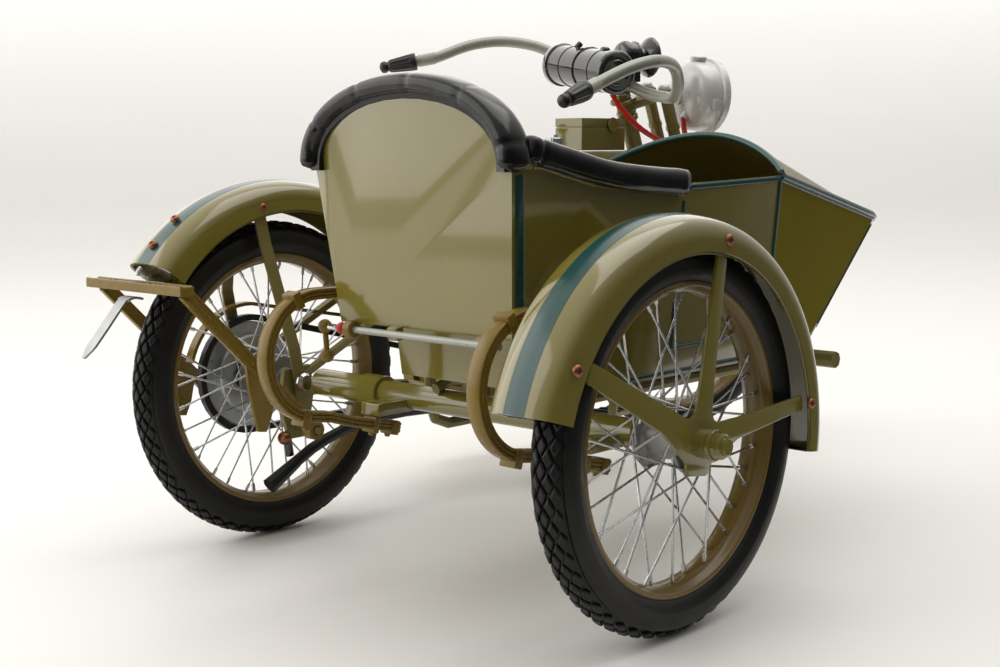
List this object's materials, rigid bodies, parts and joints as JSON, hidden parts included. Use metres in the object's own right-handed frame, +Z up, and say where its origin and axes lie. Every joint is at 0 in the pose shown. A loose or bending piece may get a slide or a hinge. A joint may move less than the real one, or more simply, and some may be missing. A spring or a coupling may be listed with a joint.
{
  "type": "model motorcycle with sidecar",
  "caption": "Olive one-sixth scale veteran motorcycle with a bow-fronted passenger sidecar, spoked wheels, raised bars and a fold-down rear stand.",
  "frame": {"origin": "on the ground, under the middle of the model's bounding box", "axes": "+Y forward, the way it drives; +X to the right, where the sidecar is; +Z up"},
  "size_m": [0.3154, 0.3994, 0.201],
  "materials": {
    "olive_enamel": "gloss olive paint",
    "tan_moulding": "brown-olive paint, semi-gloss",
    "cast_alloy": "matt cast",
    "black_enamel": "gloss black",
    "tyre_rubber": "matt black, crossed diamond tread",
    "grip_rubber": "satin black, ribbed",
    "black_leather": "soft shine",
    "bright_steel": "bright",
    "satin_steel": "satin grey paint",
    "silver_paint": "silver, semi-gloss",
    "lamp_glass": "clear",
    "red_hose": "smooth red"
  },
  "bodies": {
    "frame": {"frame_loop": "olive_enamel", "rear_stays": "olive_enamel", "rear_fender": "olive_enamel", "fender_stay": "olive_enamel", "fuel_tank": "olive_enamel", "toolbox": "olive_enamel", "sidecar_tub": "olive_enamel", "sidecar_cowl": "olive_enamel", "axle_tube": "olive_enamel", "sidecar_frame": "olive_enamel", "sidecar_fender": "olive_enamel", "sidecar_stay": "olive_enamel", "c_spring_left": "tan_moulding", "c_spring_right": "tan_moulding", "chain_guard": "tan_moulding", "engine_case": "cast_alloy", "front_cylinder": "cast_alloy", "rear_cylinder": "cast_alloy", "carburettor": "cast_alloy", "gearbox": "cast_alloy", "exhaust": "black_enamel", "footboard_left": "black_enamel", "footboard_right": "black_enamel", "drive_chain": "black_enamel", "saddle": "black_leather", "backrest_trim": "black_leather", "arm_trim_left": "black_leather", "arm_trim_right": "black_leather", "seat_cushion": "black_leather", "rear_axle": "bright_steel", "saddle_springs": "bright_steel", "cross_rod": "bright_steel", "fuel_cap": "silver_paint", "oil_cap": "silver_paint"},
    "rear_wheel": {"rear_tyre": "tyre_rubber", "rear_rim": "olive_enamel", "rear_spokes": "bright_steel", "brake_drum": "bright_steel"},
    "sidecar_wheel": {"sidecar_tyre": "tyre_rubber", "sidecar_rim": "olive_enamel", "sidecar_spokes": "bright_steel"},
    "steering": {"fork": "olive_enamel", "handlebar": "satin_steel", "grip_left": "grip_rubber", "grip_right": "grip_rubber", "gas_tank": "black_enamel", "horn": "black_enamel", "headlamp": "silver_paint", "headlamp_lens": "lamp_glass", "gas_hose": "red_hose", "front_fender": "olive_enamel"},
    "front_wheel": {"front_tyre": "tyre_rubber", "front_rim": "olive_enamel", "front_spokes": "bright_steel"},
    "stand": {"rear_stand": "tan_moulding"},
    "stand_clip": {"stand_tang": "satin_steel"},
    "toolbox_cover": {"toolbox_lid": "olive_enamel"},
    "kick_lever": {"kick_starter": "bright_steel"},
    "gear_lever": {"shift_lever": "black_enamel"},
    "foot_brake": {"brake_pedal": "black_enamel"}
  },
  "joints": [
    {"name": "rear_wheel_spin", "type": "hinge", "parent": "frame", "child": "rear_wheel", "pos_m": [-0.04652, -0.12033, 0.05925], "axis": [1, 0, 0], "continuous": true},
    {"name": "sidecar_wheel_spin", "type": "hinge", "parent": "frame", "child": "sidecar_wheel", "pos_m": [0.13758, -0.11533, 0.05925], "axis": [1, 0, 0], "continuous": true},
    {"name": "steering_turn", "type": "hinge", "parent": "frame", "child": "steering", "pos_m": [-0.04652, 0.10167, 0.15], "axis": [0, -0.3746, 0.9272], "range_deg": [-10, 50]},
    {"name": "front_wheel_spin", "type": "hinge", "parent": "steering", "child": "front_wheel", "pos_m": [-0.04486, 0.1434, 0.05914], "axis": [0.9421, -0.311, -0.1257], "continuous": true},
    {"name": "stand_swing", "type": "hinge", "parent": "frame", "child": "stand", "pos_m": [-0.04652, -0.12033, 0.042], "axis": [1, 0, 0], "range_deg": [0, 73]},
    {"name": "stand_clip_swing", "type": "hinge", "parent": "stand", "child": "stand_clip", "pos_m": [-0.04652, -0.17583, 0.0975], "axis": [1, 0, 0], "range_deg": [-80, 24]},
    {"name": "toolbox_lid_open", "type": "hinge", "parent": "frame", "child": "toolbox_cover", "pos_m": [-0.05482, 0.06967, 0.1556], "axis": [0, -1, 0], "range_deg": [0, 37]},
    {"name": "kick_start", "type": "hinge", "parent": "frame", "child": "kick_lever", "pos_m": [-0.02652, -0.02133, 0.05], "axis": [1, 0, 0], "range_deg": [0, 70], "stiffness_Nm_per_rad": 0.01, "springref_deg": -11.46},
    {"name": "gear_shift", "type": "hinge", "parent": "frame", "child": "gear_lever", "pos_m": [-0.06552, 0.02967, 0.1135], "axis": [1, 0, 0], "range_deg": [-22, 14]},
    {"name": "brake_press", "type": "hinge", "parent": "frame", "child": "foot_brake", "pos_m": [-0.01752, 0.06067, 0.031], "axis": [-1, 0, 0], "range_deg": [0, 14], "stiffness_Nm_per_rad": 0.01, "springref_deg": -5.73}
  ]
}
